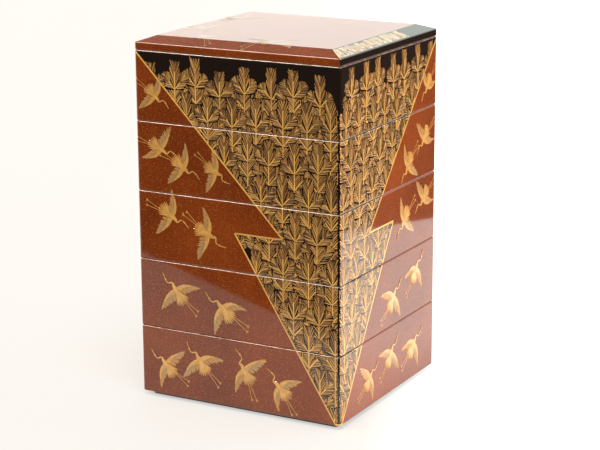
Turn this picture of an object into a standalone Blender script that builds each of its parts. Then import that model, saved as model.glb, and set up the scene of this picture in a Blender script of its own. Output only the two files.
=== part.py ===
"""A lacquered wooden stacking box: five nesting food tiers under a lid with a sloping margin.

Every tier is one joined and lacquered box: four walls, a floor, and a low foot ring that is set in
from the walls. The foot ring of a tier drops into the mouth of the tier below, and the bottom tier
stands on its own. The lid carries a ring of the same size, so it closes any tier. The outside is
red-brown, the hollows and the foot rings are black.

Metres, +Z up. The origin is on the ground under the middle of the box, the wide front faces -Y.
"""

import bmesh
import bpy

# Driving sizes of the stack
BODY_WIDTH = 0.228
BODY_DEPTH = 0.216
TIER_COUNT = 5
TIER_HEIGHT = 0.0705
WALL = 0.0065
FLOOR_THICKNESS = 0.005

# The foot ring, which nests in the mouth below with a named clearance
FOOT_HEIGHT = 0.0046
FOOT_RING_WIDTH = 0.006
NESTING_CLEARANCE = 0.0008
SEAT_GAP = 0.0003

# The lid: an upright band, a sloping margin round a flat panel, and a hollow underneath
LID_BAND_HEIGHT = 0.0074
LID_SLOPE_RUN = 0.016
LID_SLOPE_RISE = 0.006
LID_BOARD_THICKNESS = 0.005

# Roundings left by the lacquer coats; a foot ring has the same corners as the mouth that it fits
CORNER_RADIUS = 0.0025
MOUTH_CORNER_RADIUS = 0.003
EDGE_RADIUS = 0.0012
CORNER_SEGMENTS = 4
EDGE_SEGMENTS = 2

# Edges that turn by more than this, in radians, are rounded and shaded as edges
EDGE_ANGLE = 0.7

# Cutters run past the face that they open by this much
CUTTER_OVERRUN = 0.01

# Lacquer colours, linear RGB with alpha
BROWN_LACQUER = (0.20, 0.052, 0.013, 1.0)
BLACK_LACQUER = (0.010, 0.006, 0.005, 1.0)
LACQUER_ROUGHNESS = 0.22

FOOT_INSET = WALL + NESTING_CLEARANCE
FOOT_RING_INSIDE = FOOT_INSET + FOOT_RING_WIDTH
TIER_PITCH = TIER_HEIGHT + SEAT_GAP


def remove_everything():
    """Empty the scene, whatever it holds."""
    for scene_object in list(bpy.data.objects):
        bpy.data.objects.remove(scene_object, do_unlink=True)


def new_collection(name):
    """Make a collection under the scene's own."""
    collection = bpy.data.collections.new(name)
    bpy.context.scene.collection.children.link(collection)
    return collection


def lacquer(name, colour):
    """A lacquer finish of one colour, glossy and not metallic."""
    material = bpy.data.materials.new(name)
    material.use_nodes = True
    shader = material.node_tree.nodes["Principled BSDF"]
    shader.inputs["Base Color"].default_value = colour
    shader.inputs["Roughness"].default_value = LACQUER_ROUGHNESS
    shader.inputs["Metallic"].default_value = 0.0
    material.diffuse_color = colour
    return material


def cuboid_mesh(width, depth, low, high):
    """A bmesh cuboid centred on the Z axis, between two heights."""
    shape = bmesh.new()
    bmesh.ops.create_cube(shape, size=1.0)
    middle = (low + high) / 2
    bmesh.ops.scale(shape, vec=(width, depth, high - low), verts=shape.verts)
    bmesh.ops.translate(shape, vec=(0, 0, middle), verts=shape.verts)
    return shape


def round_upright_edges(shape, radius):
    """Round the edges of a bmesh that stand upright."""
    upright = [
        edge
        for edge in shape.edges
        if abs((edge.verts[0].co - edge.verts[1].co).normalized().z) > 0.99
    ]
    bmesh.ops.bevel(
        shape,
        geom=upright,
        offset=radius,
        segments=CORNER_SEGMENTS,
        profile=0.5,
        affect="EDGES",
        clamp_overlap=True,
    )


def object_from(shape, name, collection, height, finish):
    """Turn a bmesh into an object of a collection, with its own zero at a height."""
    mesh = bpy.data.meshes.new(name)
    bmesh.ops.recalc_face_normals(shape, faces=shape.faces)
    shape.to_mesh(mesh)
    shape.free()
    mesh.materials.append(finish)
    made = bpy.data.objects.new(name, mesh)
    made.location.z = height
    collection.objects.link(made)
    return made


def inset_cuboid(name, collection, inset, low, high, radius, height, finish):
    """A cuboid with rounded upright edges, set in from the body's outline all round."""
    shape = cuboid_mesh(BODY_WIDTH - 2 * inset, BODY_DEPTH - 2 * inset, low, high)
    round_upright_edges(shape, radius)
    return object_from(shape, name, collection, height, finish)


def join_or_cut(target, tool, operation):
    """Add a Boolean with a tool object, which is itself left out and passes on its finish."""
    tool.hide_render = True
    tool.display_type = "WIRE"
    modifier = target.modifiers.new(tool.name, "BOOLEAN")
    modifier.operation = operation
    modifier.object = tool
    modifier.solver = "EXACT"
    modifier.material_mode = "TRANSFER"


def add_foot_ring(target, tools, top, inside_top, finish):
    """Join the low ring that nests in the mouth below, and cut it hollow up to a height."""
    height = target.location.z
    ring = inset_cuboid(
        f"{target.name}_foot",
        tools,
        FOOT_INSET,
        -FOOT_HEIGHT,
        top,
        MOUTH_CORNER_RADIUS,
        height,
        finish,
    )
    join_or_cut(target, ring, "UNION")
    underside = inset_cuboid(
        f"{target.name}_underside",
        tools,
        FOOT_RING_INSIDE,
        -FOOT_HEIGHT - CUTTER_OVERRUN,
        inside_top,
        MOUTH_CORNER_RADIUS,
        height,
        finish,
    )
    join_or_cut(target, underside, "DIFFERENCE")


def round_edges(target):
    """Round every edge that is still sharp, and shade the roundings smooth."""
    modifier = target.modifiers.new("lacquered_edges", "BEVEL")
    modifier.width = EDGE_RADIUS
    modifier.segments = EDGE_SEGMENTS
    modifier.limit_method = "ANGLE"
    modifier.angle_limit = EDGE_ANGLE
    modifier.use_clamp_overlap = False
    target.data.shade_smooth()
    target.data.set_sharp_from_angle(angle=EDGE_ANGLE)


def build_tier(number, parts, tools, outside, inside):
    """One tier, counted from the top: walls and floor round an open hollow, on its foot ring."""
    tiers_below = TIER_COUNT - number
    height = FOOT_HEIGHT + tiers_below * TIER_PITCH
    tier = inset_cuboid(
        f"tier_{number}", parts, 0.0, 0.0, TIER_HEIGHT, CORNER_RADIUS, height, outside
    )
    add_foot_ring(tier, tools, FLOOR_THICKNESS / 2, 0.0, inside)
    hollow = inset_cuboid(
        f"{tier.name}_hollow",
        tools,
        WALL,
        FLOOR_THICKNESS,
        TIER_HEIGHT + CUTTER_OVERRUN,
        MOUTH_CORNER_RADIUS,
        height,
        inside,
    )
    join_or_cut(tier, hollow, "DIFFERENCE")
    round_edges(tier)


def build_lid(parts, tools, outside, inside):
    """The lid: its band stands flush over the walls, and its margin slopes up to the flat panel."""
    shape = cuboid_mesh(BODY_WIDTH, BODY_DEPTH, 0.0, LID_BAND_HEIGHT)
    panel = [face for face in shape.faces if face.normal.z > 0.99]
    bmesh.ops.inset_region(
        shape, faces=panel, thickness=LID_SLOPE_RUN, depth=LID_SLOPE_RISE, use_even_offset=True
    )
    round_upright_edges(shape, CORNER_RADIUS)
    height = FOOT_HEIGHT + TIER_COUNT * TIER_PITCH
    lid = object_from(shape, "lid", parts, height, outside)
    ceiling = LID_BAND_HEIGHT + LID_SLOPE_RISE - LID_BOARD_THICKNESS
    add_foot_ring(lid, tools, LID_BAND_HEIGHT / 2, ceiling, inside)
    round_edges(lid)


def main():
    """Build the stack from the ground up, and the lid over it."""
    remove_everything()
    parts = new_collection("lacquer_stacking_box")
    tools = new_collection("cutters")
    brown = lacquer("brown_lacquer", BROWN_LACQUER)
    black = lacquer("black_lacquer", BLACK_LACQUER)
    for number in range(TIER_COUNT, 0, -1):
        build_tier(number, parts, tools, brown, black)
    build_lid(parts, tools, brown, black)


main()
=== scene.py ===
"""Looks of a lacquer stacking box: five tiers and a lid under gold on red-brown and black lacquer.

A field of young pines in gold on black runs down the front-right corner, and again down the
back-left one. Cranes fly over the red-brown ground beside it. Drawings are made in millimetres on
the unrolled walls, and are laid over the rounded lacquer at the end. Everything else is in metres,
+Z up, and the wide front faces -Y.
"""

from __future__ import annotations

import logging
import math
import random
from dataclasses import dataclass
from dataclasses import field
from enum import Enum
from typing import Iterable
from typing import Sequence

import bmesh
import bpy
import numpy as np
from mathutils import Matrix
from mathutils import Vector


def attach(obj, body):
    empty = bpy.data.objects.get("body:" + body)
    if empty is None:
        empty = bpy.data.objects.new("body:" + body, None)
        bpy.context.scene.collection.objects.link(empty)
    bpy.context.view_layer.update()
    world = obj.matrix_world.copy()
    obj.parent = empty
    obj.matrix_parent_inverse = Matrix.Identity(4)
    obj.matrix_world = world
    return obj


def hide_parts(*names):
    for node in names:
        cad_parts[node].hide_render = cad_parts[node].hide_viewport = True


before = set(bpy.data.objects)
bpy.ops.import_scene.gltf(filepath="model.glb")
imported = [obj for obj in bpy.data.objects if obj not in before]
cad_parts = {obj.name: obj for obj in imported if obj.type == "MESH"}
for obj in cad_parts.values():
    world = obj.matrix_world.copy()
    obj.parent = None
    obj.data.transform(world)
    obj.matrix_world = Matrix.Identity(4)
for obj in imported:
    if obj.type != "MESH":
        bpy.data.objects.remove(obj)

logging.basicConfig(level=logging.INFO, format="%(message)s")
LOG = logging.getLogger("stacking_box")

BODY = "root"
MM = 0.001

Colour = tuple[float, float, float, float]


class Side(Enum):
    """A wall of the box, by how far it is turned about the upright axis from the front."""

    FRONT = 0
    RIGHT = 1
    BACK = 2
    LEFT = 3

    @property
    def along(self) -> np.ndarray:
        """The wall's own x axis, to the right when seen from outside."""
        return np.array([(1, 0), (0, 1), (-1, 0), (0, -1)][self.value], dtype=float)

    @property
    def outward(self) -> np.ndarray:
        """The wall's outward direction."""
        return np.array([(0, -1), (1, 0), (0, 1), (-1, 0)][self.value], dtype=float)

    @property
    def is_wide(self) -> bool:
        """True for the two walls that span the width of the box."""
        return self.value % 2 == 0


class Slot(Enum):
    """The finishes of the record that pieces carry."""

    BROWN = "brown_lacquer"
    GOLD = "gold_powder"


# Finishes


# Numbered sockets of the colour mix and of the random number, whose names repeat
MIX_FIRST = 6
MIX_SECOND = 7
MIX_RESULT = 2
RANDOM_MOST = 3
RANDOM_RESULT = 1


class NodeSketch:
    """Adds nodes to a tree and links them, so that a finish reads as a short list."""

    def __init__(self, tree: bpy.types.NodeTree) -> None:
        """Start on a tree.

        Args:
            tree: The tree that gets the nodes.
        """
        self.tree = tree

    def add(self, kind: str, settings: dict | None = None, **inputs: object) -> bpy.types.Node:
        """Add a node.

        Args:
            kind: The node's type name.
            settings: Attributes to set on the node itself.
            **inputs: Values or output sockets, by input name with underscores for spaces.

        Returns:
            The new node.
        """
        node = self.tree.nodes.new(kind)
        for name, value in (settings or {}).items():
            setattr(node, name, value)
        for name, value in inputs.items():
            self.feed(node.inputs[name.replace("_", " ")], value)
        return node

    def feed(self, socket: bpy.types.NodeSocket, value: object) -> None:
        """Link an output to a socket, or set the socket to a plain value.

        Args:
            socket: The input to feed.
            value: An output socket or a plain value.
        """
        if isinstance(value, bpy.types.NodeSocket):
            self.tree.links.new(value, socket)
        else:
            socket.default_value = value

    def ranged(self, value: object, **limits: float) -> bpy.types.NodeSocket:
        """Add a node that maps a value from one range to another."""
        return self.add("ShaderNodeMapRange", Value=value, **limits).outputs["Result"]

    def bumped(self, height: object, strength: float, distance: float) -> bpy.types.NodeSocket:
        """Add a node that tilts the shading by a height."""
        bump = self.add("ShaderNodeBump", Height=height, Strength=strength, Distance=distance)
        return bump.outputs["Normal"]


def new_material(name: str) -> tuple[bpy.types.Material, NodeSketch, bpy.types.Node]:
    """Make an empty material.

    Args:
        name: The finish's name.

    Returns:
        The material, a sketch on its tree, and its shader node.
    """
    material = bpy.data.materials.new(name)
    material.use_nodes = True
    tree = material.node_tree
    return material, NodeSketch(tree), tree.nodes["Principled BSDF"]


def mixed_colour(
    sketch: NodeSketch, share: object, first: object, second: object
) -> bpy.types.NodeSocket:
    """Add a mix of two colours.

    Args:
        sketch: The tree's sketch.
        share: How much of the second colour shows.
        first: A plain colour or an output socket.
        second: The same for the second colour.

    Returns:
        The mixed colour.
    """
    node = sketch.add("ShaderNodeMix", {"data_type": "RGBA"})
    sketch.feed(node.inputs["Factor"], share)
    sketch.feed(node.inputs[MIX_FIRST], first)
    sketch.feed(node.inputs[MIX_SECOND], second)
    return node.outputs[MIX_RESULT]


@dataclass(frozen=True)
class FlakedLacquer:
    """Transparent red-brown lacquer over a strewn ground of small gold flakes.

    Args:
        name: The material's name.
        dark: Colour where few flakes lie.
        light: Colour where many flakes lie.
        flake: Colour of a single bright flake.
        grain: Size of the speckle in metres.
        cloud: Size of the slow changes in metres.
        metal: Share of the rough reflection of the flakes.
        gloss: Roughness of the clear lacquer on top.
        coat_ior: Refractive index of the clear lacquer.
        relief: Height of the unevenness under it, in metres.
    """

    name: str = "flaked_brown_lacquer"
    dark: Colour = (0.085, 0.0115, 0.0015, 1.0)
    light: Colour = (0.27, 0.050, 0.006, 1.0)
    flake: Colour = (0.70, 0.22, 0.03, 1.0)
    grain: float = 0.0012
    cloud: float = 0.09
    metal: float = 0.5
    gloss: float = 0.05
    coat_ior: float = 1.58
    relief: float = 0.00006

    def material(self) -> bpy.types.Material:
        """Build the material.

        Returns:
            Speckled lacquer that reads object coordinates.
        """
        material, sketch, shader = new_material(self.name)
        place = sketch.add("ShaderNodeTexCoord").outputs["Object"]
        speckle = sketch.add(
            "ShaderNodeTexNoise", Vector=place, Scale=1 / self.grain, Detail=3.0, Roughness=0.75
        )
        clouds = sketch.add(
            "ShaderNodeTexNoise", Vector=place, Scale=1 / self.cloud, Detail=3.0, Roughness=0.55
        )
        cells = sketch.add("ShaderNodeTexVoronoi", Vector=place, Scale=1.5 / self.grain)
        amount = sketch.add("ShaderNodeMath", {"operation": "MULTIPLY_ADD"})
        sketch.feed(amount.inputs[0], clouds.outputs["Fac"])
        sketch.feed(amount.inputs[1], 0.35)
        sketch.feed(amount.inputs[2], speckle.outputs["Fac"])
        spread = sketch.ranged(amount.outputs["Value"], From_Min=0.54, From_Max=0.84)
        ground = mixed_colour(sketch, spread, self.dark, self.light)
        cell_value = sketch.add("ShaderNodeSeparateColor", Color=cells.outputs["Color"])
        cell_red = cell_value.outputs["Red"]
        sparkle = sketch.ranged(cell_red, From_Min=0.84, From_Max=1.0, To_Max=0.30)
        flaked = mixed_colour(sketch, sparkle, ground, self.flake)
        sketch.feed(shader.inputs["Base Color"], flaked)
        roughness = sketch.ranged(speckle.outputs["Fac"], To_Min=0.42, To_Max=0.62)
        sketch.feed(shader.inputs["Roughness"], roughness)
        normal = sketch.bumped(speckle.outputs["Fac"], 0.5, self.relief)
        sketch.feed(shader.inputs["Normal"], normal)
        shader.inputs["Metallic"].default_value = self.metal
        shader.inputs["Specular IOR Level"].default_value = 0.0
        shader.inputs["Coat Weight"].default_value = 1.0
        shader.inputs["Coat Roughness"].default_value = self.gloss
        shader.inputs["Coat IOR"].default_value = self.coat_ior
        return material


@dataclass(frozen=True)
class BlackLacquer:
    """Polished black lacquer.

    Args:
        name: The material's name.
        tone: Its own colour under the gloss.
        smooth: Roughness where the polish is best.
        dull: Roughness where hands have rubbed it.
        cloud: Size of the slow changes in metres.
        ior: Refractive index of the lacquer.
    """

    name: str = "black_lacquer_polished"
    tone: Colour = (0.0042, 0.0026, 0.0022, 1.0)
    smooth: float = 0.06
    dull: float = 0.12
    cloud: float = 0.05
    ior: float = 1.62

    def material(self) -> bpy.types.Material:
        """Build the material.

        Returns:
            Black lacquer with a slightly uneven polish.
        """
        material, sketch, shader = new_material(self.name)
        place = sketch.add("ShaderNodeTexCoord").outputs["Object"]
        clouds = sketch.add("ShaderNodeTexNoise", Vector=place, Scale=1 / self.cloud, Detail=4.0)
        polish = sketch.ranged(clouds.outputs["Fac"], To_Min=self.smooth, To_Max=self.dull)
        sketch.feed(shader.inputs["Roughness"], polish)
        normal = sketch.bumped(clouds.outputs["Fac"], 0.1, 0.0004)
        sketch.feed(shader.inputs["Normal"], normal)
        shader.inputs["Base Color"].default_value = self.tone
        shader.inputs["IOR"].default_value = self.ior
        return material


@dataclass(frozen=True)
class RimGoldAndHighlight:
    """Gold along a rim, worn through in places; the same finish also gives a pale painted highlight
    along the rims that face the key light.

    Args:
        name: The material's name.
        tone: Colour of the gold; for the highlight, its painted pale colour.
        under: Colour where it is worn through; for the highlight, where the painted highlight
            breaks off.
        wear: How much is worn, from 0 to 1; for the highlight, how much of it breaks off.
        patch: Size of the worn places in metres.
        metal: How metallic it is.
    """

    name: str
    tone: Colour
    under: Colour
    wear: float
    patch: float = 0.004
    metal: float = 0.8

    def material(self) -> bpy.types.Material:
        """Build the material.

        Returns:
            Gold that turns into its undercoat along a noisy border; the painted highlight breaks up
            the same way.
        """
        material, sketch, shader = new_material(self.name)
        place = sketch.add("ShaderNodeTexCoord").outputs["Object"]
        noise = sketch.add("ShaderNodeTexNoise", Vector=place, Scale=1 / self.patch, Detail=3.0)
        level = 0.28 + 0.44 * self.wear
        worn = sketch.ranged(
            noise.outputs["Fac"],
            From_Min=level - 0.06,
            From_Max=level + 0.06,
            To_Min=1.0,
            To_Max=0.0,
        )
        colour = mixed_colour(sketch, worn, self.tone, self.under)
        sketch.feed(shader.inputs["Base Color"], colour)
        roughness = sketch.ranged(noise.outputs["Fac"], To_Min=0.26, To_Max=0.42)
        sketch.feed(shader.inputs["Roughness"], roughness)
        normal = sketch.bumped(noise.outputs["Fac"], 0.3, 0.0001)
        sketch.feed(shader.inputs["Normal"], normal)
        shader.inputs["Metallic"].default_value = self.metal
        return material


@dataclass(frozen=True)
class GoldPowder:
    """Gold powder sprinkled on wet lacquer and polished.

    Args:
        name: The material's name.
        tone: The colour of the powder.
        metal: How metallic the polished powder is.
        roughness: How much it scatters.
        gloss: Roughness of the clear lacquer on it.
    """

    name: str
    tone: Colour
    metal: float = 0.55
    roughness: float = 0.42
    gloss: float = 0.08

    def material(self) -> bpy.types.Material:
        """Build the material, with plain values, since it dresses thousands of small strokes."""
        material, _, shader = new_material(self.name)
        shader.inputs["Base Color"].default_value = self.tone
        shader.inputs["Metallic"].default_value = self.metal
        shader.inputs["Roughness"].default_value = self.roughness
        shader.inputs["Coat Weight"].default_value = 1.0
        shader.inputs["Coat Roughness"].default_value = self.gloss
        shader.inputs["Coat IOR"].default_value = 1.62
        return material


# A pale painted highlight, not gold, for the rounded rims of the front and left walls, which face
# the key light
RIM_HIGHLIGHT = RimGoldAndHighlight("pale_rim_gold", (0.50, 0.38, 0.31, 1.0), (0.28, 0.16, 0.10, 1.0), 0.35)
WORN_RIM = RimGoldAndHighlight("worn_rim_gold", (0.55, 0.24, 0.10, 1.0), (0.20, 0.035, 0.010, 1.0), 0.55)
STEM_GOLD = GoldPowder("stem_gold", (0.86, 0.45, 0.085, 1.0))
BRIGHT_GOLD = GoldPowder("bright_gold", (0.68, 0.35, 0.075, 1.0))
LEAF_GOLD = GoldPowder("leaf_gold", (0.56, 0.28, 0.060, 1.0))
NEEDLE_GOLD = GoldPowder("needle_gold", (0.74, 0.37, 0.073, 1.0), 0.78, 0.38, 0.25)
RED_GOLD = GoldPowder("red_needle_gold", (0.48, 0.21, 0.040, 1.0), 0.78, 0.38, 0.25)
SHADED_GOLD = GoldPowder("shaded_needle_gold", (0.26, 0.115, 0.024, 1.0), 0.78, 0.38, 0.25)
WING_GOLD = GoldPowder("wing_gold", (0.34, 0.20, 0.088, 1.0))
FADED_GOLD = GoldPowder("faded_lid_gold", (0.20, 0.095, 0.028, 1.0), 0.5, 0.55, 0.05)
# Gold of the lid's pines: real gold, lightened to a pale tone that is painted sheen washing over
# the lid's slope
LID_GOLD_WITH_SHEEN = GoldPowder("pale_lid_gold", (0.72, 0.55, 0.36, 1.0), 0.4, 0.45)


# The rounded skin of lacquer, and how a flat drawing lies on it

ROUNDING_KNOTS = 9


@dataclass(frozen=True)
class Knee:
    """One corner of a section through a shell.

    Args:
        inset: Distance in from the body's outline, in millimetres.
        height: Height in millimetres.
        rounding: Radius of the corner seen in the section.
        turn: Inset of the centre about which the plan's corner is rounded.
    """

    inset: float
    height: float
    rounding: float
    turn: float


@dataclass(frozen=True)
class Outline:
    """The plan of the box: a rectangle with rounded corners, in millimetres.

    Args:
        width: Across the front.
        depth: Across the right side.
        corner: Radius of the upright edges.
    """

    width: float
    depth: float
    corner: float

    def length(self, side: Side) -> float:
        """How long a wall is, corner to corner."""
        return self.width if side.is_wide else self.depth

    def reach(self, side: Side) -> float:
        """How far a wall stands from the middle of the box."""
        return (self.depth if side.is_wide else self.width) / 2

    def ring(
        self, inset: float, height: float, turn: float, steps: int, margin: float
    ) -> np.ndarray:
        """One closed ring of points round the plan.

        Args:
            inset: Distance in from the outline.
            height: Height of the ring.
            turn: Inset of the centres of its corners.
            steps: Segments in each rounded corner.
            margin: Distance of the extra point on each side of a corner, which keeps shading flat.

        Returns:
            Points in millimetres, counter-clockwise from above.
        """
        radius = turn - inset
        half_width = self.width / 2 - turn
        half_depth = self.depth / 2 - turn
        points = []
        for quarter, (sign_x, sign_y) in enumerate([(1, -1), (1, 1), (-1, 1), (-1, -1)]):
            centre = np.array([sign_x * half_width, sign_y * half_depth])
            start = math.radians(-90 + 90 * quarter)
            stop = start + math.pi / 2
            first = centre + radius * np.array([math.cos(start), math.sin(start)])
            last = centre + radius * np.array([math.cos(stop), math.sin(stop)])
            points.append(first - margin * np.array([-math.sin(start), math.cos(start)]))
            for step in range(steps + 1):
                angle = start + (stop - start) * step / steps
                points.append(centre + radius * np.array([math.cos(angle), math.sin(angle)]))
            points.append(last + margin * np.array([-math.sin(stop), math.cos(stop)]))
        flat = np.array(points)
        return np.column_stack([flat, np.full(len(flat), height)])


@dataclass(frozen=True)
class Skin:
    """The outside of one shell, on which a flat drawing is laid.

    A drawing's x runs along the wall from its left end, and its y runs up over the outside. On the
    upright part y is the height in millimetres, and past a rounding it goes on at true length.

    Args:
        outline: The plan of the box.
        rise: The drawing's y at each knot of the section.
        inset: Inset of each knot.
        height: Height of each knot.
        tilt: Angle of the outward direction above the horizontal at each knot.
    """

    outline: Outline
    rise: np.ndarray
    inset: np.ndarray
    height: np.ndarray
    tilt: np.ndarray

    @classmethod
    def over(cls, outline: Outline, knees: Sequence[Knee]) -> Skin:
        """Trace the outside from an underside edge up over the knees.

        Args:
            outline: The plan of the box.
            knees: The section's corners from below. The first and the last only give directions.

        Returns:
            The skin between the first and the last knee.
        """
        knots = []
        for before, knee, after in zip(knees, knees[1:], knees[2:]):
            knots.extend(rounded_knee(before, knee, after, ROUNDING_KNOTS - 1, 0.0))
        inset, height, tilt = np.array(knots).T
        rise = np.concatenate([[0.0], np.cumsum(np.hypot(np.diff(inset), np.diff(height)))])
        upright = int(np.argmin(np.abs(tilt)))
        return cls(outline, rise + height[upright] - rise[upright], inset, height, tilt)

    def extended(self, inset: float) -> Skin:
        """Go on level from the last knot to an inset."""
        rise = self.rise[-1] + inset - self.inset[-1]
        return Skin(
            self.outline,
            np.append(self.rise, rise),
            np.append(self.inset, inset),
            np.append(self.height, self.height[-1]),
            np.append(self.tilt, self.tilt[-1]),
        )

    def lay(self, side: Side, drawing: np.ndarray) -> np.ndarray:
        """Lay drawn points on the lacquer.

        Args:
            side: The wall.
            drawing: Rows of x, y and lift above the lacquer, in millimetres.

        Returns:
            Rows of points in metres.
        """
        across, up, lift = drawing[:, 0], drawing[:, 1], drawing[:, 2]
        corner = self.outline.corner
        length = self.outline.length(side)
        flat = np.clip(across, corner, length - corner)
        swing = (across - flat) / corner
        tilt = np.interp(up, self.rise, self.tilt)
        out = corner - np.interp(up, self.rise, self.inset) + lift * np.cos(tilt)
        sideways = flat - length / 2 + out * np.sin(swing)
        outward = self.outline.reach(side) - corner + out * np.cos(swing)
        plan = np.outer(sideways, side.along) + np.outer(outward, side.outward)
        level = np.interp(up, self.rise, self.height) + lift * np.sin(tilt)
        return np.column_stack([plan, level]) * MM


def rounded_knee(
    before: Knee, knee: Knee, after: Knee, steps: int, margin: float
) -> list[tuple[float, float, float]]:
    """Round one corner of a section.

    Args:
        before: The corner before it.
        knee: The corner.
        after: The corner after it.
        steps: Segments in the rounding.
        margin: Distance of the extra point on each side, or zero for none.

    Returns:
        Inset, height and outward angle of each point, in order.
    """
    here = np.array([knee.inset, knee.height])
    back = np.array([before.inset, before.height]) - here
    ahead = np.array([after.inset, after.height]) - here
    back /= np.linalg.norm(back)
    ahead /= np.linalg.norm(ahead)
    tilt_in = math.atan2(-back[0], -back[1])
    tilt_out = math.atan2(ahead[0], ahead[1])
    turn = (tilt_out - tilt_in + math.pi) % (2 * math.pi) - math.pi
    bulge = math.copysign(knee.rounding, turn)
    reach = knee.rounding * math.tan(abs(turn) / 2)
    first = here + back * reach
    centre = first - outward_at(tilt_in) * bulge
    points = []
    if margin:
        points.append((*(here + back * (reach + margin)), tilt_in))
    for step in range(steps + 1):
        tilt = tilt_in + turn * step / steps
        points.append((*(centre + outward_at(tilt) * bulge), tilt))
    if margin:
        points.append((*(here + ahead * (reach + margin)), tilt_out))
    return points


def outward_at(tilt: float) -> np.ndarray:
    """The outward direction in a section, as inset and height, at an angle above the horizontal."""
    return np.array([-math.cos(tilt), math.sin(tilt)])


@dataclass(frozen=True)
class PineField:
    """The black ground of the pines on one wall, bounded by a line with a step in it.

    Places on it are a distance from the pine corner and a depth below the first tier's rim.

    Args:
        side: The wall.
        length: The wall's length.
        rim: Height of the first tier's rim.
    """

    side: Side
    length: float
    rim: float = 358.3
    step_depth: float = 173.0
    step_inner: float = 62.0
    step_outer: float = 116.0
    toe: float = 4.0
    bottom_depth: float = 353.7
    closing_depth: float = 352.2

    @property
    def corner_is_right(self) -> bool:
        """True if the pine corner is at the right end of the wall."""
        return self.side.is_wide

    def border(self) -> list[tuple[np.ndarray, np.ndarray]]:
        """The straight stretches of the border, from the top down, as drawn points."""
        stretches = [
            ((self.length, 0.0), (self.step_inner, self.step_depth)),
            ((self.step_inner, self.step_depth), (self.step_outer, self.step_depth)),
            ((self.step_outer, self.step_depth), (self.toe, self.bottom_depth)),
            ((self.toe + 0.6, self.closing_depth), (0.0, self.closing_depth)),
        ]
        return [(self.drawn(*start), self.drawn(*end)) for start, end in stretches]

    def drawn(self, distance: float, depth: float) -> np.ndarray:
        """Turn a distance from the pine corner and a depth into a drawn point."""
        across = self.length - distance if self.corner_is_right else distance
        return np.array([across, self.rim - depth])

    def distance(self, across: np.ndarray) -> np.ndarray:
        """How far drawn points are from the pine corner."""
        return self.length - across if self.corner_is_right else across

    def edge(self, up: np.ndarray) -> np.ndarray:
        """How far the border is from the pine corner at some heights."""
        depth = self.rim - up
        upper = np.interp(depth, [0.0, self.step_depth], [self.length, self.step_inner])
        lower = np.interp(depth, [self.step_depth, self.bottom_depth], [self.step_outer, self.toe])
        return np.where(depth < self.step_depth, upper, lower)

    def contains(self, across: np.ndarray, up: np.ndarray, margin: float = 0.0) -> np.ndarray:
        """Tell which drawn points lie in the field.

        Args:
            across: Their x.
            up: Their y.
            margin: How far inside the border they must be.

        Returns:
            True for each point inside.
        """
        return self.distance(across) < self.edge(up) - margin


@dataclass(frozen=True)
class LidField(PineField):
    """The pines on the slope of one black margin of the lid, between its mitres.

    Args:
        skin: The lid's skin.
        foot: Where the slope begins, on the way up the skin.
        crest: Where the slope ends.
        bare: How far from the pine corner the bare black begins.
    """

    skin: Skin | None = None
    foot: float = 0.0
    crest: float = 0.0
    bare: float = 155.0

    def edge(self, up: np.ndarray) -> np.ndarray:
        """How far the bare black is from the pine corner; it comes nearer towards the panel."""
        inset = np.interp(up, self.skin.rise, self.skin.inset)
        return self.bare - 0.35 * inset

    def contains(self, across: np.ndarray, up: np.ndarray, margin: float = 0.0) -> np.ndarray:
        """Tell which drawn points lie between the mitres and before the bare black."""
        inset = np.interp(up, self.skin.rise, self.skin.inset)
        distance = self.distance(across)
        inside = (distance > inset + margin) & (self.length - distance > inset + margin)
        inside &= (up > self.foot + 0.3 * margin) & (up < self.crest - 0.3 * margin)
        return inside & (distance < self.edge(up) - margin)


@dataclass(frozen=True)
class ShellFinishes:
    """The finishes of the shells, in the order of their faces' indices."""

    brown: bpy.types.Material
    black: bpy.types.Material
    pale_rim: bpy.types.Material
    worn_rim: bpy.types.Material

    def in_order(self) -> list[bpy.types.Material]:
        """The finishes as a list."""
        return [self.brown, self.black, self.pale_rim, self.worn_rim]


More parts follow.
